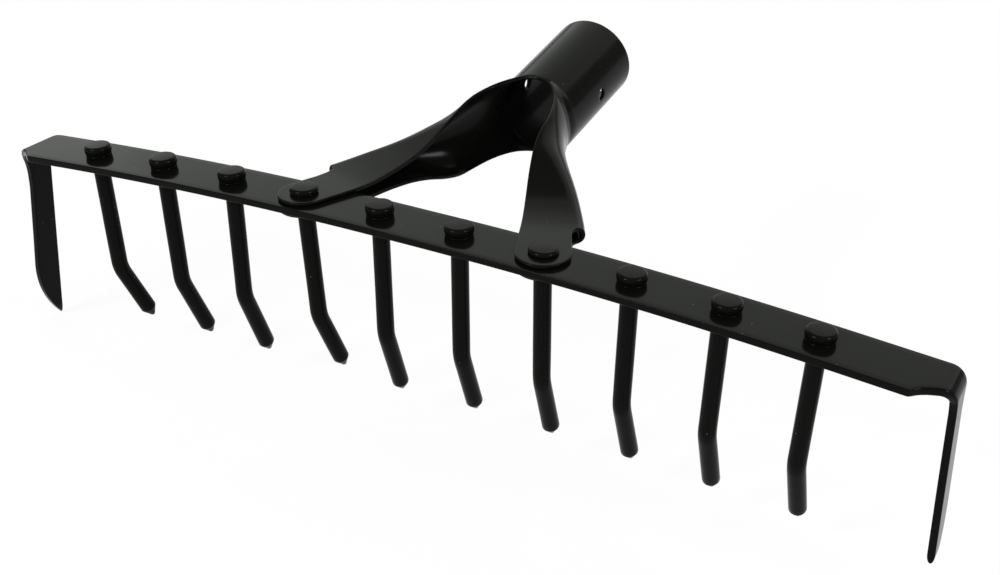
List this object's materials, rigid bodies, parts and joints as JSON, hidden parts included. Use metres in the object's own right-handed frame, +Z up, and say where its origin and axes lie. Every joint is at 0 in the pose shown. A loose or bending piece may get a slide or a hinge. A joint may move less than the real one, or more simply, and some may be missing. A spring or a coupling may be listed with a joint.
{
  "type": "garden rake head",
  "caption": "Garden rake head: flat bar with a bent-down blade at each end, round riveted tines and a forked sheet socket that takes a wooden handle.",
  "frame": {"origin": "middle of the bar's top face, half way between the two middle tines", "axes": "+X along the bar, to the right as seen from the tines' side; +Y back towards the handle; +Z up, out of the bar's top face"},
  "size_m": [0.3886, 0.15, 0.1266],
  "materials": {
    "bar_enamel": "glossy black baked enamel on flat steel bar",
    "tine_enamel": "glossy black baked enamel on forged steel rod",
    "socket_enamel": "glossy black baked enamel on formed steel sheet"
  },
  "bodies": {
    "root": {"head_bar": "bar_enamel", "tine_01": "tine_enamel", "tine_02": "tine_enamel", "tine_03": "tine_enamel", "tine_04": "tine_enamel", "tine_05": "tine_enamel", "tine_06": "tine_enamel", "tine_07": "tine_enamel", "tine_08": "tine_enamel", "tine_09": "tine_enamel", "tine_10": "tine_enamel", "handle_socket": "socket_enamel"}
  },
  "joints": []
}
